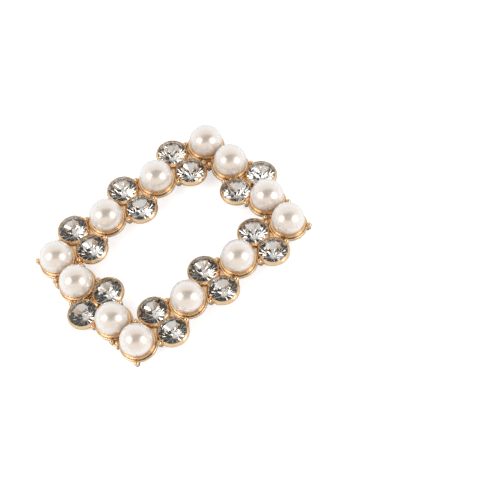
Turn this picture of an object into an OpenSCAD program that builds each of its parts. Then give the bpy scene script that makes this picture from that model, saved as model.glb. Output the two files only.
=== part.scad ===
// Open rectangular shoe charm: one cast frame of round cups that holds pearls and cut stones.
// The frame is arched along its length: each cup of a long side leans with its place on the arch,
// and the cups of a short side share one lean.
// X runs along the long sides, Y along the short sides, Z up out of the face.
// The origin is the centre of the surface that the charm rests on.

/* [Layout] */
// Spacing of neighbouring pearls on a long side, along the arch
pearl_pitch = 11.73; // [11.72:0.01:12.2]
// Distance between the pearl rows of the two long sides
side_span = 23.2; // [23:0.1:24.4]
// Spacing of a corner pearl and the next pearl on the short side
corner_step = 6.4; // [6.25:0.05:6.6]
// How far the pearls and stones of a short side stand outside the corner pearls
short_bulge = 0.5; // [0.3:0.05:0.8]
// Spacing of the two stones of a pair on a long side
long_pair_gap = 5.45; // [5.45:0.01:5.7]
// Spacing of the two stones of a pair on a short side
short_pair_gap = 5.86; // [5.6:0.02:6.2]
// Radius of the lengthwise arch, measured to the stones' girdles
arch_r = 154; // [150:2:300]

/* [Pearls] */
// Diameter of a pearl
pearl_d = 6; // [5.8:0.05:6]
// Height of a pearl's centre over the plane of the stones' girdles
pearl_rise = 1.1; // [1:0.05:1.2]

/* [Stones] */
// Diameter of a stone at its girdle
stone_d = 5.16; // [5:0.02:5.16]
// Height of the crown over the girdle
crown_h = 1.05; // [0.8:0.05:1.2]
// Depth of the pavilion under the girdle
pavilion_h = 1.75; // [1.5:0.05:1.75]
// Width of the table as a share of the stone's diameter
table_share = 0.54; // [0.45:0.01:0.6]

/* [Cast frame] */
// Width of the thin lip around a pearl
lip_w = 0.22; // [0.16:0.02:0.3]
// Width of the flange around a pearl, lip included
pearl_flange_w = 0.5; // [0.44:0.02:0.5]
// Width of the wall around a stone, lip included
stone_wall_w = 0.34; // [0.3:0.01:0.34]
// Distance of a prong's axis from the axis of its pearl
prong_reach = 3.78; // [3.74:0.02:3.82]
// Diameter of the ball that ends a prong
prong_ball_d = 0.9; // [0.8:0.05:0.95]
// Clearance between a pearl or stone and its cup
seat_gap = 0.03; // [0.02:0.01:0.05]

/* [Hidden] */
$fn = 64;

pearl_r = pearl_d / 2;
stone_r = stone_d / 2;

// Heights of the frame's features, from the plane of the stones' girdles
lip_top = 0.1;
lip_bevel = 0.1;
flange_top = -0.42;
flange_bevel = 0.12;
flange_low = -1;
pearl_foot = -2.45;
stone_lip_top = 0.06;
stone_shoulder = -0.36;
stone_wall_low = -0.8;
stone_foot = -1.95;
prong_ball_z = -0.45;
prong_foot = -1.4;
bar_top = -1.08;
bar_low = -1.72;

// Radii of the cups' flat feet
pearl_foot_r = 2.25;
stone_foot_r = 1.75;

prong_post_d = 0.72;
bar_l = 6.2;
corner_rib_w = 0.5;
// Least distance of a bar from the axis of a pearl and of a stone
pearl_bar_gap = 2.25;
stone_bar_gap = 1.6;

stone_lip_w = 0.1;

// Cut of the stones: radii and heights of the rings where its facets meet
girdle_h = 0.12;
table_r = stone_r * table_share;
culet_r = 0.34;
culet_z = -girdle_h / 2 - pavilion_h;

// Distances along the arch (x) and across it (y)
half_length = 1.5 * pearl_pitch;
half_width = side_span / 2;
end_x = half_length + short_bulge;
inner_y = half_width - corner_step;
prong_step = prong_reach * sqrt(0.5);

// Direction of a prong from its pearl, off the X axis. It is lower beside a short side's stones.
prong_angle = 45;
end_prong_angle = 33;

// A place is a station along the arch, a distance from it in the plane that touches the arch
// there, and a distance from the middle line
corner_pearls = [
    for (y = [1, -1]) for (x = [-1, 1]) [x * end_x, -x * short_bulge, y * half_width]
];
middle_pearls = [
    for (y = [1, -1]) for (x = [-0.5, 0.5]) [x * pearl_pitch, 0, y * half_width]
];
end_pearls = [for (x = [-1, 1]) for (y = [1, -1]) [x * end_x, 0, y * inner_y]];
pearl_places = concat(corner_pearls, middle_pearls, end_pearls);

long_stones = [
    for (y = [1, -1]) for (x = [-1, 0, 1]) for (s = [0.5, -0.5])
        [x * pearl_pitch, 0, y * half_width + s * long_pair_gap]
];
end_stones = [for (x = [-1, 1]) for (s = [0.5, -0.5]) [x * end_x, x * s * short_pair_gap, 0]];
stone_places = concat(long_stones, end_stones);

// Low bars that join a pair of stones to the pearl beside it, and one pearl to the next
long_bar_w = pearl_pitch / 2 - prong_step - stone_bar_gap;
end_bar_w = inner_y - pearl_bar_gap - stone_bar_gap;
corner_bar_w = corner_step - 2 * pearl_bar_gap;
long_bars = [
    for (y = [1, -1]) for (x = [-1, 0, 1]) for (s = [1, -1])
        [x * pearl_pitch, s * (stone_bar_gap + long_bar_w / 2), y * half_width]
];
end_bars = [
    for (x = [-1, 1]) for (y = [1, -1]) [x * end_x, 0, y * (stone_bar_gap + end_bar_w / 2)]
];
corner_bars = [
    for (x = [-1, 1]) for (y = [1, -1])
        [x * end_x, -x * short_bulge / 2, y * (half_width - corner_step / 2)]
];

// Height of the arch's crest over the surface under a foot with its outer edge at a distance
// from its station
function foot_drop(station, edge, foot) =
    let(a = station / arch_r * 180 / PI)
    arch_r - (arch_r + foot) * cos(a) + edge * sin(a);
crest_z = max(
    foot_drop(end_x, pearl_foot_r, pearl_foot),
    foot_drop(end_x, short_pair_gap / 2 + stone_foot_r, stone_foot)
);

// Puts its children at a place on the arch, with their Z along the arch's normal
module on_arch(place) {
    translate([0, place[2], crest_z - arch_r])
        rotate([0, place[0] / arch_r * 180 / PI, 0])
            translate([place[1], 0, arch_r])
                children();
}

module pearl_cup() {
    lip_r = pearl_r + lip_w;
    flange_r = pearl_r + pearl_flange_w;
    difference() {
        rotate_extrude()
            polygon([
                [0, pearl_foot],
                [pearl_foot_r, pearl_foot],
                [flange_r, flange_low],
                [flange_r, flange_top - flange_bevel],
                [flange_r - flange_bevel, flange_top],
                [lip_r, flange_top],
                [lip_r, lip_top - lip_bevel],
                [lip_r - lip_bevel, lip_top],
                [0, lip_top]
            ]);
        translate([0, 0, pearl_rise])
            sphere(r = pearl_r + seat_gap);
    }
}

// Its seat follows the stone's pavilion, seat_gap below it
module stone_cup() {
    wall_r = stone_r + stone_wall_w;
    seat_r = stone_r + seat_gap;
    rotate_extrude()
        polygon([
            [0, stone_foot],
            [stone_foot_r, stone_foot],
            [wall_r, stone_wall_low],
            [wall_r, stone_shoulder],
            [stone_r + stone_lip_w, stone_lip_top],
            [seat_r, stone_lip_top],
            [seat_r, -girdle_h / 2 - seat_gap],
            [culet_r + 2 * seat_gap, culet_z - seat_gap],
            [0, culet_z - seat_gap]
        ]);
}

module prong() {
    translate([0, 0, prong_foot])
        cylinder(d = prong_post_d, h = prong_ball_z - prong_foot);
    translate([0, 0, prong_ball_z])
        sphere(d = prong_ball_d, $fn = 32);
}

// Four prongs around a pearl, with their directions off the X axis above and below it
module pearl_prongs(up_angle, down_angle) {
    for (a = [up_angle, 180 - up_angle, -down_angle, down_angle - 180])
        rotate([0, 0, a])
            translate([prong_reach, 0, 0])
                prong();
}

module bar(size_x, size_y) {
    translate([-size_x / 2, -size_y / 2, bar_low])
        cube([size_x, size_y, bar_top - bar_low]);
}

// Short bar from a corner pearl's cup out to the prong at the charm's corner
module corner_rib(place) {
    on_arch(place)
        rotate([0, 0, atan2(sign(place[2]), sign(place[0]))])
            translate([pearl_bar_gap, -corner_rib_w / 2, bar_low])
                cube([prong_reach - pearl_bar_gap, corner_rib_w, bar_top - bar_low]);
}

module setting_frame() {
    color([0.93, 0.76, 0.53]) {
        for (place = pearl_places)
            on_arch(place) pearl_cup();
        for (place = stone_places)
            on_arch(place) stone_cup();
        for (place = concat(corner_pearls, middle_pearls))
            on_arch(place) pearl_prongs(prong_angle, prong_angle);
        for (place = end_pearls)
            on_arch(place)
                pearl_prongs(
                    place[2] > 0 ? prong_angle : end_prong_angle,
                    place[2] > 0 ? end_prong_angle : prong_angle
                );
        for (place = long_bars)
            on_arch(place) bar(long_bar_w, bar_l);
        for (place = end_bars)
            on_arch(place) bar(bar_l, end_bar_w);
        for (place = corner_bars)
            on_arch(place) bar(bar_l, corner_bar_w);
        for (place = corner_pearls)
            corner_rib(place);
    }
}

module pearl(place) {
    color([0.96, 0.93, 0.89])
        on_arch(place)
            translate([0, 0, pearl_rise])
                sphere(r = pearl_r);
}

// Ring of points on a stone: count points from a starting angle
function ring(count, start, r, z) =
    [for (i = [0 : count - 1]) let(a = start + i * 360 / count) [r * cos(a), r * sin(a), z]];

// Octagonal table with eight broad facets under its sides and eight triangles under its corners.
// Sixteen facets lead from the girdle down to a small flat culet.
module cut_stone() {
    top_z = girdle_h / 2;
    points = concat(
        ring(8, 0, table_r, top_z + crown_h),
        ring(16, 11.25, stone_r, top_z),
        ring(16, 11.25, stone_r, -top_z),
        ring(16, 11.25, culet_r, culet_z)
    );
    // First point of each ring
    upper = 8;
    lower = 24;
    culet = 40;
    faces = concat(
        [[for (i = [7 : -1 : 0]) i]],
        [for (i = [0 : 7]) [i, (i + 1) % 8, upper + 2 * i + 1, upper + 2 * i]],
        [for (i = [0 : 7]) [(i + 1) % 8, upper + (2 * i + 2) % 16, upper + 2 * i + 1]],
        [for (i = [0 : 15]) [upper + i, upper + (i + 1) % 16, lower + (i + 1) % 16, lower + i]],
        [for (i = [0 : 15]) [lower + i, lower + (i + 1) % 16, culet + (i + 1) % 16, culet + i]],
        [[for (i = [0 : 15]) culet + i]]
    );
    polyhedron(points, faces);
}

module stone(place) {
    color([0.8, 0.82, 0.84])
        on_arch(place)
            cut_stone();
}

setting_frame();
for (i = [1 : 12])
    pearl(pearl_places[i - 1]);
for (i = [1 : 16])
    stone(stone_places[i - 1]);
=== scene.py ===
import math

import bmesh
import bpy
from bpy.props import FloatProperty, FloatVectorProperty, PointerProperty
from mathutils import Matrix, Vector, noise


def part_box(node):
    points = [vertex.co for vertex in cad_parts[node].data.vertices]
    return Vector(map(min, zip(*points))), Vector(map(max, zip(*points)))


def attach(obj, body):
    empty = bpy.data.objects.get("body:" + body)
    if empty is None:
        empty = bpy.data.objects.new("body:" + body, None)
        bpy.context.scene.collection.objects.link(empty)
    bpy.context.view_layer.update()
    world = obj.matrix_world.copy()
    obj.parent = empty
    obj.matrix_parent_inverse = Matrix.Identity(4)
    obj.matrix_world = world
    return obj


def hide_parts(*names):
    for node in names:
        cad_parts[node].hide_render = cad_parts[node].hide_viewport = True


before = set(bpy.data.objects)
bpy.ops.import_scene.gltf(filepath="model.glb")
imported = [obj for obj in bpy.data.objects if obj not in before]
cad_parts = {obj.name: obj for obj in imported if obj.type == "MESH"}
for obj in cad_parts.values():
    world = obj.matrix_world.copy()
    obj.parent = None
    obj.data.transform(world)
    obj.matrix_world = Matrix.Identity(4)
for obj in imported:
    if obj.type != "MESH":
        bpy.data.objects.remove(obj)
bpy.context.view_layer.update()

bl_info = {
    "name": "Pearl and stone shoe charm",
    "version": (1, 0, 0),
    "blender": (4, 5, 0),
    "location": "View3D > Sidebar > Charm",
    "description": "Dresses the charm's solids as a gilt casting with pearls and foiled cut stones",
    "category": "Object",
}

MM = 0.001

# Heights of the casting over the plane of the stones' girdles, in millimetres
PEARL_FOOT = -2.45
FLANGE_LOW = -1.0
FLANGE_TOP = -0.42
LIP_MIDDLE = -0.2
LIP_TOP = 0.1
STONE_FOOT = -1.95
WALL_LOW = -0.76
SHOULDER = -0.40
STONE_LIP_TOP = 0.06
PRONG_FOOT = -1.4
PRONG_BALL = -0.45
BAR_LOW = -1.72
BAR_TOP = -0.8
RIB_TOP = -0.62
HALF_GIRDLE = 0.06

# Other sizes of the casting, in millimetres
SEAT_GAP = 0.03
PEARL_FOOT_R = 2.25
STONE_FOOT_R = 1.75
STONE_LIP = 0.08
POST_R = 0.36
POST_STOP = 0.05
BAR_LENGTH = 6.2
PEARL_BAR_GAP = 2.25
STONE_BAR_GAP = 1.85
CORNER_BAR_GAP = 2.2
BAR_OVERLAP = 0.1
WEB_NEAR = 0.95
WEB_FAR = 2.0
WEB_LENGTH = 2.4
END_WEB = (2.2, 3.9)
RIB_WIDTH = 0.8
# A point in a pearl's bowl that its mouth leads to: how far inside the mouth, and how high
INTO_BOWL = (0.35, -0.5)
# Step from the mouth's last point onto the bowl
BOWL_EDGE = 0.002

# Radii of its rounded edges, in millimetres
FOOT_ROUND = 0.12
BELLY_ROUND = 0.3
FLANGE_ROUND = 0.15
STEP_ROUND = 0.07
LIP_ROUND = 0.13
MOUTH_ROUND = 0.05
WALL_ROUND = 0.25
SHOULDER_ROUND = 0.14
STONE_LIP_ROUNDS = (0.03, 0.04)
BAR_ROUND = 0.12
WEB_ROUND = 0.05
RIB_ROUND = 0.14

# Directions of a prong from its pearl, off the X axis. It is lower beside a short side's stones.
PRONG_ANGLE = math.radians(45)
LOW_PRONG_ANGLE = math.radians(33)

# Fineness of the meshes
MERGE_DISTANCE = 1e-7
ROUND_STEPS = 4
BOWL_STEPS = 8
BALL_STEPS = 10
PEARL_CUP_SIDES = 96
STONE_CUP_SIDES = 88
PRONG_SIDES = 20
BEAD_CUTS = 23
SHARP_ANGLE = math.radians(38)

# Millimetres below the girdles' plane where the painted shade in the recesses starts, and over
# which it deepens
RECESS_SHADE_START = 0.55
RECESS_SHADE_DEPTH = 0.9
# How near the foot of a pearl's lip a point of the painted shade line around it lies, in
# millimetres
SHADE_LINE_HEIGHT = 0.12
SHADE_LINE_WIDTH = 0.1

# Waves of a pearl's lacquer: turns over the pearl, share of the finer ones, and their drift
BROAD_WAVE = 1.6
FINE_WAVE = 5
FINE_WAVE_SHARE = 0.35
WAVE_DRIFT = (7.3, 3.1, 5.7)
# Height under which a painted reflection of the gilding shows in a pearl, and over which it grows,
# in millimetres
GILT_REFLECTION_TOP = 1.7
GILT_REFLECTION_DEPTH = 1.6
# How far a bead may stand from its node
BEAD_TOLERANCE = 0.05 * MM

TABLE_SIDES = 8
GIRDLE_SIDES = 16
# Degrees by which each stone is turned more than the one before. Its facets repeat every 45.
STONE_TURN = 37
FACET_REPEAT = 45

# Share of the fine noise in the height of the unevenness
FINE_SHARE = 0.25
# Tints that the clouds of each finish reach
GILT_CLOUD = (1.0, 0.92, 0.84)
GLASS_HAZE = (0.97, 0.97, 0.97)
FOIL_CLOUD = (0.92, 0.88, 0.82)
FLOOR_CLOUD = (0.985, 0.985, 0.985)
# Number of reflections over which the foil's own light sets in
LATE_RAYS = (3.5, 4.5)

# The photograph's camera
TOWARDS = Vector((-0.2527, -0.4391, 0.8622))
RIGHT = Vector((0.7566, -0.6451, -0.1068))
UP = Vector((0.6031, 0.6253, 0.4952))
CAMERA_PLACE = (-0.08906, -0.18134, 0.33687)
CAMERA_LENS = 156.12
CAMERA_SENSOR = 36
CAMERA_NEAR, CAMERA_FAR = 0.01, 20

# Edges of the dark panel in the ceiling, in degrees: up from the front, or out to the sides
STEM_START = (42, 50)
STEM_SIDE = (22, 34)
BAR_START = (62, 72)
BAR_SIDE = (38, 62)
PANEL_STOP = (92, 108)

# Direction of each softbox, as shares of right, up and towards the camera
SOFTBOXES = {"left softbox": (-0.70, 0.04, 0.71), "right softbox": (0.76, 0.01, 0.65)}
SOFTBOX_SIZE = (0.24, 0.3)
SOFTBOX_DISTANCE = 0.5
FLOOR_REACH = 2.5
FLOOR_CELLS = 8


def size(name, description, millimetres, precision=5):
    """A length that a user may change."""
    return FloatProperty(
        name=name, description=description, default=millimetres * MM,
        unit="LENGTH", subtype="DISTANCE", precision=precision,
    )


def tint(name, description, default):
    """A colour that a user may change."""
    return FloatVectorProperty(
        name=name, description=description, default=default, subtype="COLOR", min=0, max=1)


def level(name, description, default, **limits):
    """A share, roughness or brightness that a user may change."""
    return FloatProperty(name=name, description=description, default=default, **limits)


class CharmLayout(bpy.types.PropertyGroup):
    """Where the cups stand along the arch"""
    pitch: size("Pearl pitch", "Spacing of the pearls on a long side", 11.73)
    span: size("Side span", "Distance between the pearl rows of the long sides", 23.2)
    corner_step: size(
        "Corner step", "Spacing of a corner pearl and the next pearl on the short side", 6.4)
    bulge: size("Short side bulge", "How far a short side stands outside the corner pearls", 0.5)
    long_gap: size("Long pair gap", "Spacing of the two stones of a pair on a long side", 5.45)
    short_gap: size("Short pair gap", "Spacing of the two stones of a pair on a short side", 5.86)
    arch_radius: size("Arch radius", "Radius of the lengthwise arch at the stones' girdles", 154)
    crest: size("Crest height", "Height of the arch's crest over the floor", 3.7587)


class CharmPearls(bpy.types.PropertyGroup):
    """Imitation pearls"""
    radius: size("Radius", "Radius of a pearl", 3)
    rise: size("Rise", "Height of a pearl's centre over the stones' girdles", 1.1)
    unevenness: size("Unevenness", "Depth of the lacquer's waves", 0.006, precision=6)
    body: tint("Body", "Colour of the pearl coat", (0.83, 0.71, 0.60))
    blush: tint("Blush", "Colour of the coat's pinker clouds", (0.82, 0.675, 0.575))
    # Painted sheen: the coat's colour turns paler where it is seen at a slant
    slant_sheen: tint("Rim", "Paler tone of the coat where it is seen at a slant", (0.98, 0.945, 0.915))
    # Painted reflection: the gilding's colour painted into the coat near the lip
    seat: tint(
        "Seat", "Colour of the coat beside the lip, where the gilding shows in it",
        (0.80, 0.57, 0.36))
    roughness: level("Roughness", "Roughness of the pearl coat", 0.29, min=0, max=1)


class CharmStones(bpy.types.PropertyGroup):
    """Foiled cut stones"""
    radius: size("Radius", "Radius of a stone at its girdle", 2.58)
    table: level(
        "Table", "Width of the table as a share of the stone's width", 0.54, min=0.3, max=0.7)
    crown: size("Crown", "Height of the crown", 1.05)
    pavilion: size("Pavilion", "Depth of the pavilion", 1.75)
    culet: size("Culet", "Radius of the small flat under the pavilion", 0.34)
    tilt: level(
        "Tilt", "How far a stone may lean in its cup", math.radians(1.2), subtype="ANGLE")
    glass: tint("Glass", "Colour of the glass", (0.985, 0.98, 0.976))
    foil: tint("Foil", "Colour of the foil behind the glass", (0.745, 0.73, 0.71))
    fill: tint(
        "Fill", "Light of the foil after many reflections inside a stone", (0.42, 0.395, 0.37))


class CharmFrame(bpy.types.PropertyGroup):
    """Cast gilt frame"""
    lip: size("Lip", "Width of the lip around a pearl", 0.22)
    flange: size("Flange", "Width of the flange around a pearl, lip included", 0.5)
    wall: size("Stone wall", "Width of the wall around a stone", 0.42)
    reach: size("Prong reach", "Distance of a prong from its pearl's axis", 3.8)
    ball: size("Prong ball", "Diameter of a prong's ball", 0.98)
    gilt: tint("Gilt", "Colour of the plating", (0.87, 0.63, 0.39))
    # Painted shade: the plating's colour darkens to this down in the recesses and along the foot of
    # each pearl's lip
    recess_shade: tint("Recess", "Colour of the plating down in the recesses", (0.40, 0.25, 0.14))
    roughness: level("Roughness", "Roughness of the plating", 0.22, min=0, max=1)


class CharmStage(bpy.types.PropertyGroup):
    """Floor, light and camera"""
    floor: tint("Floor", "Colour of the floor", (0.93, 0.93, 0.93))
    floor_glow: level("Floor glow", "Light of the floor itself, as on a light table", 0.65, min=0)
    box_light: level("Softboxes", "Brightness of the two softboxes", 3.4, min=0)
    room_light: level("Room", "Brightness of the white room", 0.92, min=0)
    patch_light: level("Ceiling panel", "Brightness of the ceiling's dark panel", 0.02, min=0)


def places(layout):
    """Stations, offsets and distances across for each kind of cup, in the CAD's order."""
    end, wide, inner = reaches(layout)
    return {
        "corner": [(x * end, -x * layout.bulge, y * wide) for y in (1, -1) for x in (-1, 1)],
        "middle": [(x * layout.pitch, 0, y * wide) for y in (1, -1) for x in (-0.5, 0.5)],
        "end": [(x * end, 0, y * inner) for x in (-1, 1) for y in (1, -1)],
        "long_stone": [
            (x * layout.pitch, 0, y * wide + s * layout.long_gap)
            for y in (1, -1) for x in (-1, 0, 1) for s in (0.5, -0.5)
        ],
        "end_stone": [
            (x * end, x * s * layout.short_gap, 0) for x in (-1, 1) for s in (0.5, -0.5)
        ],
    }


def reaches(layout):
    """Distances to a short side's cups, a long side's pearls and a short side's inner pearls."""
    end = 1.5 * layout.pitch + layout.bulge
    wide = layout.span / 2
    return end, wide, wide - layout.corner_step


def pearl_places(layout):
    kinds = places(layout)
    return kinds["corner"] + kinds["middle"] + kinds["end"]


def stone_places(layout):
    kinds = places(layout)
    return kinds["long_stone"] + kinds["end_stone"]


def unturned(spots):
    return [(*spot, 0) for spot in spots]


def held(value):
    """The value, kept between 0 and 1."""
    return min(1, max(0, value))


def new_object(name, data):
    obj = bpy.data.objects.new(name, data)
    bpy.context.scene.collection.objects.link(obj)
    return obj


def finish_mesh(bm, name):
    bmesh.ops.remove_doubles(bm, verts=bm.verts, dist=MERGE_DISTANCE)
    bmesh.ops.recalc_face_normals(bm, faces=bm.faces)
    mesh = bpy.data.meshes.new(name)
    bm.to_mesh(mesh)
    bm.free()
    return mesh


def ring(bm, count, radius, z, turn=0):
    """Points around the Z axis."""
    return [
        bm.verts.new((radius * math.cos(a), radius * math.sin(a), z))
        for a in (turn + math.tau * k / count for k in range(count))
    ]


def rounded(corners):
    """A profile of (radius, height, fillet) corners as plain (radius, height) points."""
    points = []
    for i, (r, z, fillet) in enumerate(corners):
        here = Vector((r, z))
        if fillet == 0:
            points.append(here)
            continue
        to_prev = (Vector(corners[i - 1][:2]) - here).normalized()
        to_next = (Vector(corners[i + 1][:2]) - here).normalized()
        half_angle = to_prev.angle(to_next) / 2
        reach = fillet / math.tan(half_angle)
        centre = here + (to_prev + to_next).normalized() * fillet / math.sin(half_angle)
        first = here + to_prev * reach - centre
        last = here + to_next * reach - centre
        start = math.atan2(first.y, first.x)
        sweep = (math.atan2(last.y, last.x) - start + math.pi) % math.tau - math.pi
        for k in range(ROUND_STEPS + 1):
            a = start + sweep * k / ROUND_STEPS
            points.append(centre + fillet * Vector((math.cos(a), math.sin(a))))
    return points


def turned(name, profile, sides):
    """A closed solid turned about Z. Its profile starts and ends on the axis, in millimetres."""
    bm = bmesh.new()
    rings = [
        ring(bm, sides if r else 1, r * MM, z * MM)
        for r, z in profile
    ]
    for low, high in zip(rings, rings[1:]):
        for k in range(sides):
            n = (k + 1) % sides
            if len(low) == 1:
                bm.faces.new((low[0], high[n], high[k]))
            elif len(high) == 1:
                bm.faces.new((low[k], low[n], high[0]))
            else:
                bm.faces.new((low[k], low[n], high[n], high[k]))
    return finish_mesh(bm, name)


def block(name, width, length, top, fillet):
    """A bar with rounded edges, centred on the axis. Its top and fillet are in millimetres."""
    bm = bmesh.new()
    bmesh.ops.create_cube(bm, size=1)
    low = BAR_LOW * MM
    height = top * MM - low
    for v in bm.verts:
        v.co = Vector((v.co.x * width, v.co.y * length, low + (v.co.z + 0.5) * height))
    bmesh.ops.bevel(
        bm, geom=bm.edges[:], offset=fillet * MM, segments=2, profile=0.5, affect="EDGES")
    return finish_mesh(bm, name)


class Tree:
    """Adds nodes to a node tree and joins them."""

    def __init__(self, tree):
        self.tree = tree

    def feed(self, node, inputs):
        """Joins a node's inputs to the outputs given for them, or sets them to plain values."""
        for key, value in inputs.items():
            if isinstance(value, bpy.types.NodeSocket):
                self.tree.links.new(value, node.inputs[key])
            else:
                node.inputs[key].default_value = value

    def add(self, kind, inputs=None, **settings):
        node = self.tree.nodes.new(kind)
        for key, value in settings.items():
            setattr(node, key, value)
        self.feed(node, inputs or {})
        return node

    def maths(self, operation, *values):
        return self.add("ShaderNodeMath", dict(enumerate(values)), operation=operation).outputs[0]

    def attribute(self, name):
        """A number that the mesh stores at its points, for a material."""
        return self.add("ShaderNodeAttribute", attribute_name=name).outputs["Fac"]

    def spread(self, value, span, to=(0.0, 1.0)):
        """Runs smoothly over the range to, while the value runs over span."""
        ends = zip(("From Min", "From Max", "To Min", "To Max"), (*span, *to))
        return self.add(
            "ShaderNodeMapRange", {"Value": value, **dict(ends)}, interpolation_type="SMOOTHSTEP",
        ).outputs["Result"]

    def mixed(self, factor, first, second, blend_type="MIX"):
        """A colour from the first, a colour or an output, and the second, a colour."""
        if not isinstance(first, bpy.types.NodeSocket):
            first = (*first, 1)
        # Of the inputs, 6 and 7 are the two colours. Output 2 is the mixed one.
        return self.add(
            "ShaderNodeMix", data_type="RGBA", blend_type=blend_type,
            inputs={0: factor, 6: first, 7: (*second, 1)},
        ).outputs[2]


ARCH_TREE = "Along the arch"
ARCH_INPUTS = {
    "Places": "Geometry",
    "Piece": "Object",
    "Arch radius": "Float",
    "Crest height": "Float",
    "Lean": "Float",
    "Seed": "Int",
    "Material": "Material",
    "Foil material": "Material",
}


def new_sockets(group, in_out, kinds):
    for name, kind in kinds.items():
        group.interface.new_socket(name, in_out=in_out, socket_type="NodeSocket" + kind)


def arch_tree():
    """Places a piece at every point of a list of stations on the arch."""
    group = bpy.data.node_groups.new(ARCH_TREE, "GeometryNodeTree")
    new_sockets(group, "INPUT", ARCH_INPUTS)
    new_sockets(group, "OUTPUT", {"Geometry": "Geometry"})
    tree = Tree(group)
    given = tree.add("NodeGroupInput").outputs
    result = tree.add("NodeGroupOutput")

    def stored(name, data_type="FLOAT"):
        return tree.add(
            "GeometryNodeInputNamedAttribute", {"Name": name}, data_type=data_type,
        ).outputs["Attribute"]

    def about(axis, angle):
        return tree.add(
            "FunctionNodeAxisAngleToRotation", {"Axis": axis, "Angle": angle}).outputs[0]

    radius = given["Arch radius"]
    rotation = about((0, 1, 0), tree.maths("DIVIDE", stored("station"), radius))
    arm = tree.add("ShaderNodeCombineXYZ", {"X": stored("offset"), "Z": radius}).outputs[0]
    arm = tree.add("FunctionNodeRotateVector", {0: arm, 1: rotation}).outputs[0]
    axis_z = tree.maths("SUBTRACT", given["Crest height"], radius)
    axis = tree.add("ShaderNodeCombineXYZ", {"Y": stored("across"), "Z": axis_z}).outputs[0]
    spot = tree.add("ShaderNodeVectorMath", {0: arm, 1: axis}, operation="ADD").outputs[0]
    spots = tree.add(
        "GeometryNodeSetPosition", {"Geometry": given["Places"], "Position": spot}).outputs[0]

    wobble = tree.add(
        "FunctionNodeRandomValue", {0: (-1, -1, -1), 1: (1, 1, 1), "Seed": given["Seed"]},
        data_type="FLOAT_VECTOR",
    ).outputs[0]
    wobble = tree.add(
        "ShaderNodeVectorMath", {0: wobble, "Scale": given["Lean"]}, operation="SCALE",
    ).outputs[0]
    uneven = tree.add("FunctionNodeEulerToRotation", {0: wobble}).outputs[0]
    for extra in (about((0, 0, 1), stored("turn")), uneven):
        rotation = tree.add(
            "FunctionNodeRotateRotation", {0: rotation, 1: extra}, rotation_space="LOCAL",
        ).outputs[0]

    piece = tree.add("GeometryNodeObjectInfo", {"Object": given["Piece"]}).outputs["Geometry"]
    copies = tree.add(
        "GeometryNodeInstanceOnPoints", {"Points": spots, "Instance": piece, "Rotation": rotation})
    real = tree.add("GeometryNodeRealizeInstances", {0: copies.outputs[0]})
    coated = tree.add(
        "GeometryNodeSetMaterial", {"Geometry": real.outputs[0], "Material": given["Material"]})
    backed = tree.add("GeometryNodeSetMaterial", {
        "Geometry": coated.outputs[0],
        "Selection": stored("foil", "BOOLEAN"),
        "Material": given["Foil material"],
    })
    tree.feed(result, {0: backed.outputs[0]})
    return group


def set_on_arch(name, mesh, spots, material, foil=None, lean=0.0, seed=1):
    """A plain mesh object with a copy of mesh at each spot: (station, offset, across, turn)."""
    layout = bpy.context.scene.charm_layout
    tree = bpy.data.node_groups.get(ARCH_TREE) or arch_tree()
    piece = new_object(name + " source", mesh)
    cloud = bpy.data.meshes.new(name + " places")
    cloud.from_pydata([(0, 0, 0)] * len(spots), [], [])
    for index, key in enumerate(("station", "offset", "across", "turn")):
        data = cloud.attributes.new(key, "FLOAT", "POINT").data
        for item, spot in zip(data, spots):
            item.value = spot[index]
    holder = new_object(name + " places", cloud)
    modifier = holder.modifiers.new(ARCH_TREE, "NODES")
    modifier.node_group = tree
    values = {
        "Piece": piece,
        "Arch radius": layout.arch_radius,
        "Crest height": layout.crest,
        "Lean": lean,
        "Seed": seed,
        "Material": material,
        "Foil material": foil or material,
    }
    for item in tree.interface.items_tree:
        if item.in_out == "INPUT" and item.name in values:
            modifier[item.identifier] = values[item.name]
    graph = bpy.context.evaluated_depsgraph_get()
    made = bpy.data.meshes.new_from_object(holder.evaluated_get(graph))
    made.name = name
    holder.modifiers.remove(modifier)
    for used in (holder, piece):
        bpy.data.objects.remove(used)
    return new_object(name, made)


def join_solids(first, second):
    """Makes the first of two closed solids their union. The second is used up."""
    step = first.modifiers.new("Solid", "BOOLEAN")
    step.operation = "UNION"
    step.solver = "MANIFOLD"
    step.object = second
    graph = bpy.context.evaluated_depsgraph_get()
    mesh = bpy.data.meshes.new_from_object(first.evaluated_get(graph))
    first.modifiers.remove(step)
    old = first.data
    first.data = mesh
    bpy.data.meshes.remove(old)
    bpy.data.objects.remove(second)


def hand_over(piece, node):
    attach(piece, "root")
    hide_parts(node)


def unevenness_group():
    """Broad and fine noise of a hand-finished surface, as masks and as a normal."""
    name = "Hand-finished unevenness"
    if name in bpy.data.node_groups:
        return bpy.data.node_groups[name]
    group = bpy.data.node_groups.new(name, "ShaderNodeTree")
    labels = ("Broad scale", "Fine scale", "Bump", "Depth")
    new_sockets(group, "INPUT", dict.fromkeys(labels, "Float"))
    new_sockets(group, "OUTPUT", {"Broad": "Float", "Fine": "Float", "Normal": "Vector"})
    tree = Tree(group)
    given = tree.add("NodeGroupInput").outputs
    result = tree.add("NodeGroupOutput")
    where = tree.add("ShaderNodeTexCoord").outputs["Object"]
    broad, fine = (
        tree.add(
            "ShaderNodeTexNoise", {"Vector": where, "Scale": given[scale], "Detail": detail},
        ).outputs[0]
        for scale, detail in (("Broad scale", 2), ("Fine scale", 3))
    )
    height = tree.maths("MULTIPLY_ADD", fine, FINE_SHARE, broad)
    bump = tree.add(
        "ShaderNodeBump", {"Height": height, "Strength": given["Bump"], "Distance": given["Depth"]})
    tree.feed(result, {"Broad": broad, "Fine": fine, "Normal": bump.outputs[0]})
    return group


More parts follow.
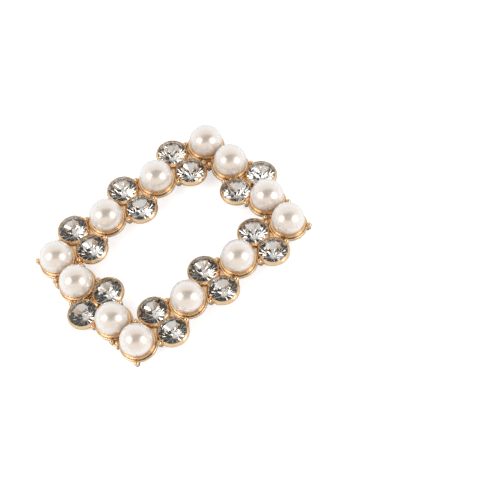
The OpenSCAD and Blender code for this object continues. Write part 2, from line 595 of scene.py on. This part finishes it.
def unevenness(tree, broad_scale, fine_scale, bump=0.0, depth=0.0):
    """Outputs of the shared unevenness at a finish's own scales."""
    return tree.add("ShaderNodeGroup", node_tree=unevenness_group(), inputs={
        "Broad scale": broad_scale, "Fine scale": fine_scale, "Bump": bump, "Depth": depth,
    }).outputs


def new_material(name):
    """A material, its tree and its shader."""
    material = bpy.data.materials.new(name)
    material.use_nodes = True
    return material, Tree(material.node_tree), material.node_tree.nodes["Principled BSDF"]


def times(values, factors):
    return [value * factor for value, factor in zip(values, factors)]


def gilt_material(settings):
    """Polished plating on a casting: slightly wavy, with painted shade making it browner down in
    the recesses and at the foot of each pearl's lip.
    """
    material, tree, shader = new_material("Gilt casting")
    wave = unevenness(tree, broad_scale=650.0, fine_scale=2400.0, bump=0.12, depth=0.00004)
    # Painted shade: the mask darkens the plating's colour between the cups and at the foot of each
    # pearl's lip
    recess_shade_mask = tree.spread(tree.attribute("recess_shade_mask"), (0.0, 1.0))
    colour = tree.mixed(recess_shade_mask, settings.gilt, settings.recess_shade)
    clouds = tree.spread(wave["Broad"], (0.42, 0.66), to=(0.0, 0.55))
    gloss = times((0.75, 1.5), [settings.roughness] * 2)
    tree.feed(shader, {
        "Base Color": tree.mixed(clouds, colour, GILT_CLOUD, blend_type="MULTIPLY"),
        "Metallic": 1.0,
        "Roughness": tree.spread(wave["Fine"], (0.35, 0.7), to=gloss),
        "Normal": wave["Normal"],
    })
    return material


def pearl_material(settings):
    """Pearl lacquer: ivory with faint pink clouds, under a clear gloss, with painted sheen where it
    is seen at a slant and a painted reflection of the gilding near the lip.
    """
    material, tree, shader = new_material("Pearl lacquer")
    cloud = unevenness(tree, broad_scale=230.0, fine_scale=800.0, bump=0.02, depth=0.00002)
    facing = tree.add("ShaderNodeLayerWeight").outputs["Facing"]
    seat = tree.attribute("seat")
    colour = tree.mixed(tree.spread(cloud["Broad"], (0.38, 0.7)), settings.body, settings.blush)
    # Painted sheen: paler colour where the coat is seen at a slant
    colour = tree.mixed(tree.spread(facing, (0.02, 0.5)), colour, settings.slant_sheen)
    # Painted reflection: the gilding's colour in the coat near the lip, where the coat's gloss is
    # thinned
    colour = tree.mixed(tree.spread(seat, (0.0, 1.0), to=(0.0, 0.8)), colour, settings.seat)
    gloss = times((0.85, 1.2), [settings.roughness] * 2)
    tree.feed(shader, {
        "Base Color": colour,
        "Metallic": 0.3,
        "Roughness": tree.spread(cloud["Fine"], (0.3, 0.7), to=gloss),
        "IOR": 1.9,
        "Coat Weight": tree.spread(seat, (0.0, 1.0), to=(1.0, 0.1)),
        "Coat Roughness": 0.27,
        "Coat IOR": 2.0,
        "Normal": cloud["Normal"],
    })
    return material


def glass_material(settings):
    """Clear cut glass with the faintest haze of handling."""
    material, tree, shader = new_material("Cut glass")
    haze = unevenness(tree, broad_scale=900.0, fine_scale=9000.0)
    hazy = times(settings.glass, GLASS_HAZE)
    tree.feed(shader, {
        "Base Color": tree.mixed(haze["Broad"], settings.glass, hazy),
        "Roughness": tree.spread(haze["Fine"], (0.5, 0.85), to=(0.0, 0.05)),
        "IOR": 1.56,
        "Transmission Weight": 1.0,
    })
    return material


def foil_material(settings):
    """Silver foil behind the pavilion, slightly clouded."""
    material, tree, shader = new_material("Stone foil")
    cloud = unevenness(tree, broad_scale=700.0, fine_scale=5000.0)
    tarnish = tree.spread(cloud["Broad"], (0.35, 0.7))
    # A stone reflects light more often than the renderer follows it, so late rays find the foil lit
    depth = tree.add("ShaderNodeLightPath").outputs["Ray Depth"]
    late = tree.spread(depth, LATE_RAYS)
    tree.feed(shader, {
        "Base Color": tree.mixed(tarnish, settings.foil, times(settings.foil, FOIL_CLOUD)),
        "Metallic": 1.0,
        "Roughness": tree.spread(cloud["Fine"], (0.3, 0.8), to=(0.04, 0.1)),
        "Emission Color": tree.mixed(late, (0, 0, 0), settings.fill),
        "Emission Strength": 1.0,
    })
    return material


def floor_material(settings):
    """Matt pale paper with a faint tooth."""
    material, tree, shader = new_material("Pale paper")
    tooth = unevenness(tree, broad_scale=60.0, fine_scale=900.0, bump=0.1, depth=0.00002)
    tone = tree.mixed(tooth["Broad"], settings.floor, times(settings.floor, FLOOR_CLOUD))
    seen = tree.add("ShaderNodeLightPath").outputs["Is Camera Ray"]
    tree.feed(shader, {
        "Base Color": tone,
        "Roughness": 0.8,
        "Specular IOR Level": 0.2,
        "Emission Color": tone,
        "Emission Strength": tree.spread(seen, (0.0, 1.0), to=(0.0, settings.floor_glow)),
        "Normal": tooth["Normal"],
    })
    return material


def pearl_cup_mesh(pearls, cast):
    """Round cup with a thin lip, a step down to its flange, and a flat foot."""
    r = pearls.radius / MM
    rise = pearls.rise / MM
    lip_r = r + cast.lip / MM
    flange_r = r + cast.flange / MM
    bowl_r = r + SEAT_GAP
    mouth = math.sqrt(bowl_r ** 2 - (rise - LIP_TOP) ** 2)
    # The last corner only says which way the mouth is rounded, and is left out again
    points = rounded([
        (0, PEARL_FOOT, 0),
        (PEARL_FOOT_R, PEARL_FOOT, FOOT_ROUND),
        (flange_r, FLANGE_LOW, BELLY_ROUND),
        (flange_r, FLANGE_TOP, FLANGE_ROUND),
        (lip_r, FLANGE_TOP, STEP_ROUND),
        (lip_r, LIP_MIDDLE, 0),
        (lip_r, LIP_TOP, LIP_ROUND),
        (mouth, LIP_TOP, MOUTH_ROUND),
        (mouth - INTO_BOWL[0], INTO_BOWL[1], 0),
    ])[:-1]
    steepest = math.asin((points[-1].x - BOWL_EDGE) / bowl_r)
    for k in range(BOWL_STEPS + 1):
        a = steepest * (1 - k / BOWL_STEPS)
        points.append(Vector((bowl_r * math.sin(a), rise - bowl_r * math.cos(a))))
    return turned("pearl cup", points, PEARL_CUP_SIDES)


def stone_cup_mesh(stones, cast):
    """Round cup with a bevelled wall and a seat that follows the stone's pavilion."""
    r = stones.radius / MM
    wall_r = r + cast.wall / MM
    seat_r = r + SEAT_GAP
    seat_floor = -HALF_GIRDLE - stones.pavilion / MM - SEAT_GAP
    outer_round, inner_round = STONE_LIP_ROUNDS
    points = rounded([
        (0, STONE_FOOT, 0),
        (STONE_FOOT_R, STONE_FOOT, FOOT_ROUND),
        (wall_r, WALL_LOW, WALL_ROUND),
        (wall_r, SHOULDER, SHOULDER_ROUND),
        (r + STONE_LIP, STONE_LIP_TOP, outer_round),
        (seat_r, STONE_LIP_TOP, inner_round),
        (seat_r, -HALF_GIRDLE - SEAT_GAP, 0),
        (stones.culet / MM + 2 * SEAT_GAP, seat_floor, 0),
        (0, seat_floor, 0),
    ])
    return turned("stone cup", points, STONE_CUP_SIDES)


def prong_mesh(cast):
    """Short post with a ball on it."""
    ball_r = cast.ball / 2 / MM
    start = -math.acos(POST_R / ball_r)
    post_top = PRONG_BALL + ball_r * math.sin(start) - POST_STOP
    points = [(0, PRONG_FOOT), (POST_R, PRONG_FOOT), (POST_R, post_top)]
    for k in range(BALL_STEPS):
        a = start + (math.pi / 2 - start) * k / BALL_STEPS
        points.append((ball_r * math.cos(a), PRONG_BALL + ball_r * math.sin(a)))
    points.append((0, PRONG_BALL + ball_r))
    return turned("prong", points, PRONG_SIDES)


def prong_places(layout, reach):
    """Four prongs around each pearl."""
    spots = []
    for kind in ("corner", "middle", "end"):
        for station, offset, across in places(layout)[kind]:
            up = down = PRONG_ANGLE
            if kind == "end" and across > 0:
                down = LOW_PRONG_ANGLE
            elif kind == "end":
                up = LOW_PRONG_ANGLE
            for angle in (up, math.pi - up, -down, down - math.pi):
                x, y = reach * math.cos(angle), reach * math.sin(angle)
                spots.append((station, offset + x, across + y, angle))
    return spots


def rib_places(layout, distance):
    """A short bar out to the prong at each corner of the charm."""
    spots = []
    for station, offset, across in places(layout)["corner"]:
        angle = math.atan2(math.copysign(1, across), math.copysign(1, station))
        x, y = distance * math.cos(angle), distance * math.sin(angle)
        spots.append((station, offset + x, across + y, angle))
    return spots


def low_bars(layout, cast):
    """Name, mesh and places of the bars, webs and ribs that join the cups."""
    end, wide, inner = reaches(layout)
    length = BAR_LENGTH * MM
    pearl_gap = PEARL_BAR_GAP * MM
    stone_gap = STONE_BAR_GAP * MM

    def beside_pairs(distance):
        """On both sides of each pair of stones of the long sides."""
        return [
            (x * layout.pitch, s * distance, y * wide, 0)
            for y in (1, -1) for x in (-1, 0, 1) for s in (1, -1)
        ]

    prong_step = cast.reach * math.sqrt(0.5)
    long_w = layout.pitch / 2 - prong_step - stone_gap + BAR_OVERLAP * MM
    end_w = inner - pearl_gap - stone_gap
    end_y = stone_gap + end_w / 2
    corner_w = layout.corner_step - 2 * CORNER_BAR_GAP * MM
    corner_y = wide - layout.corner_step / 2
    # Webs close the three-sided gaps between a pair of stones and the pearls beside it
    web_near = WEB_NEAR * MM
    web_w = WEB_FAR * MM - web_near
    end_web_w, end_web_l = (side * MM for side in END_WEB)
    rib_l = cast.reach - pearl_gap
    return [
        (
            "long bars",
            block("bar", long_w, length, BAR_TOP, BAR_ROUND),
            beside_pairs(stone_gap + long_w / 2),
        ), (
            "end bars",
            block("bar", length, end_w, BAR_TOP, BAR_ROUND),
            [(x * end, 0, y * end_y, 0) for x in (-1, 1) for y in (1, -1)],
        ), (
            "corner bars",
            block("bar", length, corner_w, BAR_TOP, BAR_ROUND),
            [(x * end, -x * layout.bulge / 2, y * corner_y, 0) for x in (-1, 1) for y in (1, -1)],
        ), (
            "webs",
            block("web", web_w, WEB_LENGTH * MM, BAR_TOP, WEB_ROUND),
            beside_pairs(web_near + web_w / 2),
        ), (
            "end webs",
            block("web", end_web_w, end_web_l, BAR_TOP, WEB_ROUND),
            [(x * end, 0, 0, 0) for x in (-1, 1)],
        ), (
            "ribs",
            block("rib", rib_l, RIB_WIDTH * MM, RIB_TOP, RIB_ROUND),
            rib_places(layout, pearl_gap + rib_l / 2),
        ),
    ]


def frame_solid(scene, material):
    """The whole casting: cups, prongs and low bars in one solid."""
    layout, cast = scene.charm_layout, scene.charm_frame
    kinds = places(layout)
    pearl_cup = pearl_cup_mesh(scene.charm_pearls, cast)
    stone_cup = stone_cup_mesh(scene.charm_stones, cast)
    # Cups that overlap stand in different groups, because a solid of a union may not cross itself
    outer, inner = (kinds["long_stone"][k::2] + kinds["end_stone"][k::2] for k in (0, 1))
    parts = [
        ("cups", pearl_cup, unturned(kinds["corner"] + kinds["middle"])),
        ("end cups", pearl_cup, unturned(kinds["end"])),
        ("outer cups", stone_cup, unturned(outer)),
        ("inner cups", stone_cup, unturned(inner)),
        ("prongs", prong_mesh(cast), prong_places(layout, cast.reach)),
        *low_bars(layout, cast),
    ]
    solid, *others = [set_on_arch(*part, material) for part in parts]
    for other in others:
        join_solids(solid, other)
    solid.name = "gilt_frame"
    solid.data.name = "gilt_frame"
    return solid


def arch_matrix(layout, station, offset, across):
    """Frame of a place on the arch: X along it, Y across it, Z out of the face."""
    radius = layout.arch_radius
    return (
        Matrix.Translation((0, 0, layout.crest - radius))
        @ Matrix.Rotation(station / radius, 4, "Y")
        @ Matrix.Translation((offset, across, radius))
    )


def paint_recess_shade(mesh, scene):
    """Stores a mask of painted shade: how far each point lies down between the cups, or in the step
    of a pearl's cup.
    """
    layout = scene.charm_layout
    data = mesh.attributes.new("recess_shade_mask", "FLOAT", "POINT").data
    radius = layout.arch_radius
    axis_z = layout.crest - radius
    for item, vertex in zip(data, mesh.vertices):
        x, _, z = vertex.co
        depth = radius - math.hypot(x, z - axis_z)
        item.value = held((depth - RECESS_SHADE_START * MM) / (RECESS_SHADE_DEPTH * MM))
    lip_r = scene.charm_pearls.radius + scene.charm_frame.lip
    for spot in pearl_places(layout):
        back = arch_matrix(layout, *spot).inverted()
        for item, vertex in zip(data, mesh.vertices):
            here = back @ vertex.co
            if (
                # A painted shade line around the foot of each pearl's lip
                abs(here.z - FLANGE_TOP * MM) < SHADE_LINE_HEIGHT * MM
                and abs(math.hypot(here.x, here.y) - lip_r) < SHADE_LINE_WIDTH * MM
            ):
                item.value = 1


class CHARM_OT_frame(bpy.types.Operator):
    """Make the cast gilt frame"""
    bl_idname = "charm.frame"
    bl_label = "Gilt frame"

    def execute(self, context):
        scene = context.scene
        material = gilt_material(scene.charm_frame)
        solid = frame_solid(scene, material)
        mesh = solid.data
        paint_recess_shade(mesh, scene)
        mesh.materials.clear()
        mesh.materials.append(material)
        mesh.shade_smooth()
        mesh.set_sharp_from_angle(angle=SHARP_ANGLE)
        hand_over(solid, "setting_frame")
        return {"FINISHED"}


def bead_mesh(name, pearls, seed):
    """A pearl with very slightly uneven lacquer. It stores how near its lip each point is, for a
    painted reflection of the gilding.
    """
    bm = bmesh.new()
    bmesh.ops.create_cube(bm, size=2)
    bmesh.ops.subdivide_edges(bm, edges=bm.edges[:], cuts=BEAD_CUTS, use_grid_fill=True)
    drift = Vector([seed * step for step in WAVE_DRIFT])
    for v in bm.verts:
        unit = Vector([math.tan(c * math.pi / 4) for c in v.co]).normalized()
        wave = noise.noise(unit * BROAD_WAVE + drift)
        wave += FINE_WAVE_SHARE * noise.noise(unit * FINE_WAVE + drift)
        v.co = unit * (pearls.radius + wave * pearls.unevenness)
        v.co.z += pearls.rise
    mesh = finish_mesh(bm, name)
    # Mask of the painted reflection of the gilding, growing towards the lip
    data = mesh.attributes.new("seat", "FLOAT", "POINT").data
    for item, v in zip(data, mesh.vertices):
        item.value = held((GILT_REFLECTION_TOP * MM - v.co.z) / (GILT_REFLECTION_DEPTH * MM))
    mesh.shade_smooth()
    return mesh


class CHARM_OT_pearls(bpy.types.Operator):
    """Make the imitation pearls"""
    bl_idname = "charm.pearls"
    bl_label = "Pearls"

    def execute(self, context):
        scene = context.scene
        pearls = scene.charm_pearls
        material = pearl_material(pearls)
        for number, spot in enumerate(unturned(pearl_places(scene.charm_layout)), 1):
            node = f"pearl_{number}"
            mesh = bead_mesh(node + " bead", pearls, number)
            bead = set_on_arch(f"bead_{number}", mesh, [spot], material)
            low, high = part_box(node)
            points = bead.data.vertices
            middle = sum((v.co for v in points), Vector()) / len(points)
            if (middle - (low + high) / 2).length > BEAD_TOLERANCE:
                raise RuntimeError(f"{node} is not where its bead stands: {middle} {low} {high}")
            hand_over(bead, node)
        return {"FINISHED"}


def cut_stone_mesh(name, stones):
    """Octagonal table, eight broad and eight three-sided crown facets, sixteen facets below."""
    r = stones.radius
    top = HALF_GIRDLE * MM
    half_step = math.pi / GIRDLE_SIDES
    bm = bmesh.new()
    mark = bm.faces.layers.bool.new("foil")
    table = ring(bm, TABLE_SIDES, r * stones.table, top + stones.crown)
    upper = ring(bm, GIRDLE_SIDES, r, top, half_step)
    lower = ring(bm, GIRDLE_SIDES, r, -top, half_step)
    culet = ring(bm, GIRDLE_SIDES, stones.culet, -top - stones.pavilion, half_step)
    bm.faces.new(table)
    for i in range(TABLE_SIDES):
        n = (i + 1) % TABLE_SIDES
        bm.faces.new((table[i], upper[2 * i], upper[2 * i + 1], table[n]))
        bm.faces.new((table[n], upper[2 * i + 1], upper[(2 * i + 2) % GIRDLE_SIDES]))
    foil = [bm.faces.new(culet)]
    for i in range(GIRDLE_SIDES):
        n = (i + 1) % GIRDLE_SIDES
        bm.faces.new((upper[i], lower[i], lower[n], upper[n]))
        foil.append(bm.faces.new((lower[i], culet[i], culet[n], lower[n])))
    for face in foil:
        face[mark] = True
    return finish_mesh(bm, name)


class CHARM_OT_stones(bpy.types.Operator):
    """Make the foiled cut stones"""
    bl_idname = "charm.stones"
    bl_label = "Cut stones"

    def execute(self, context):
        scene = context.scene
        stones = scene.charm_stones
        glass = glass_material(stones)
        foil = foil_material(stones)
        for number, spot in enumerate(stone_places(scene.charm_layout), 1):
            node = f"stone_{number}"
            turn = math.radians((number - 1) * STONE_TURN % FACET_REPEAT)
            stone = set_on_arch(
                f"cut_stone_{number}", cut_stone_mesh(node + " cut", stones), [(*spot, turn)],
                glass, foil, lean=stones.tilt, seed=number,
            )
            hand_over(stone, node)
        return {"FINISHED"}


def world_light(stage):
    """White room with a dark T-shaped panel in its ceiling, whose stem points to the front."""
    world = bpy.data.worlds.new("Studio")
    bpy.context.scene.world = world
    world.use_nodes = True
    tree = Tree(world.node_tree)
    where = tree.add("ShaderNodeTexCoord").outputs["Generated"]
    above = Vector((0, 0, 1))
    front = Vector((TOWARDS.x, TOWARDS.y, 0)).normalized()

    def along(direction):
        return tree.add(
            "ShaderNodeVectorMath", {0: where, 1: direction}, operation="DOT_PRODUCT",
        ).outputs["Value"]

    angle = tree.maths("ARCTAN2", along(above), along(front))
    sideways = tree.maths("ABSOLUTE", along(above.cross(front)))

    def in_height(degrees, to=(0.0, 1.0)):
        return tree.spread(angle, [math.radians(d) for d in degrees], to)

    def near_middle(degrees):
        return tree.spread(sideways, [math.sin(math.radians(d)) for d in degrees], (1.0, 0.0))

    stem = tree.maths("MULTIPLY", in_height(STEM_START), near_middle(STEM_SIDE))
    start = tree.maths("MAXIMUM", stem, in_height(BAR_START))
    panel = tree.maths("MULTIPLY", start, in_height(PANEL_STOP, to=(1.0, 0.0)))
    panel = tree.maths("MULTIPLY", panel, near_middle(BAR_SIDE))
    light = tree.spread(panel, (0.0, 1.0), to=(stage.room_light, stage.patch_light))
    tree.feed(world.node_tree.nodes["Background"], {"Color": (1, 1, 1, 1), "Strength": light})


def softbox(name, direction, brightness):
    """A soft light over the charm that the camera doesn't see."""
    width, height = SOFTBOX_SIZE
    light = bpy.data.lights.new(name, "AREA")
    light.shape = "RECTANGLE"
    light.size = width
    light.size_y = height
    light.energy = brightness * math.pi * width * height
    obj = new_object(name, light)
    direction = direction.normalized()
    obj.location = direction * SOFTBOX_DISTANCE
    obj.rotation_euler = direction.to_track_quat("Z", "Y").to_euler()
    obj.visible_camera = False


def photo_camera():
    """A camera at the photograph's angle and distance."""
    data = bpy.data.cameras.new("camera")
    data.lens = CAMERA_LENS
    data.sensor_width = CAMERA_SENSOR
    data.clip_start = CAMERA_NEAR
    data.clip_end = CAMERA_FAR
    camera = new_object("camera", data)
    back = TOWARDS.normalized()
    right = RIGHT.normalized()
    view = Matrix((right, back.cross(right), back)).transposed().to_4x4()
    view.translation = CAMERA_PLACE
    camera.matrix_world = view
    return camera


class CHARM_OT_stage(bpy.types.Operator):
    """Make the floor, the studio light and the camera"""
    bl_idname = "charm.stage"
    bl_label = "Stage"

    def execute(self, context):
        scene = context.scene
        stage = scene.charm_stage
        bm = bmesh.new()
        bmesh.ops.create_grid(bm, x_segments=FLOOR_CELLS, y_segments=FLOOR_CELLS, size=FLOOR_REACH)
        floor = new_object("floor", finish_mesh(bm, "floor"))
        floor.data.materials.append(floor_material(stage))
        world_light(stage)
        for name, (right, up, towards) in SOFTBOXES.items():
            softbox(name, right * RIGHT + up * UP + towards * TOWARDS, stage.box_light)
        scene.camera = photo_camera()
        scene.view_settings.view_transform = "Standard"
        return {"FINISHED"}


# Settings of the charm, and the operator that uses them
GROUPS = {
    "charm_layout": (CharmLayout, None),
    "charm_frame": (CharmFrame, CHARM_OT_frame),
    "charm_pearls": (CharmPearls, CHARM_OT_pearls),
    "charm_stones": (CharmStones, CHARM_OT_stones),
    "charm_stage": (CharmStage, CHARM_OT_stage),
}


class CHARM_PT_panel(bpy.types.Panel):
    """Lists the charm's pieces and their settings"""
    bl_idname = "CHARM_PT_panel"
    bl_label = "Shoe charm"
    bl_space_type = "VIEW_3D"
    bl_region_type = "UI"
    bl_category = "Charm"

    def draw(self, context):
        for name, (_, operator) in GROUPS.items():
            box = self.layout.box()
            settings = getattr(context.scene, name)
            for key in settings.bl_rna.properties.keys():
                if key not in ("rna_type", "name"):
                    box.prop(settings, key)
            if operator:
                box.operator(operator.bl_idname)


CLASSES = (
    CharmLayout, CharmFrame, CharmPearls, CharmStones, CharmStage,
    CHARM_OT_frame, CHARM_OT_pearls, CHARM_OT_stones, CHARM_OT_stage,
    CHARM_PT_panel,
)


def register():
    for cls in CLASSES:
        bpy.utils.register_class(cls)
    for name, (group, _) in GROUPS.items():
        setattr(bpy.types.Scene, name, PointerProperty(type=group))


def unregister():
    for name in GROUPS:
        delattr(bpy.types.Scene, name)
    for cls in reversed(CLASSES):
        bpy.utils.unregister_class(cls)


def main():
    register()
    bpy.ops.charm.stage()
    bpy.ops.charm.frame()
    bpy.ops.charm.pearls()
    bpy.ops.charm.stones()


if __name__ == "__main__":
    main()
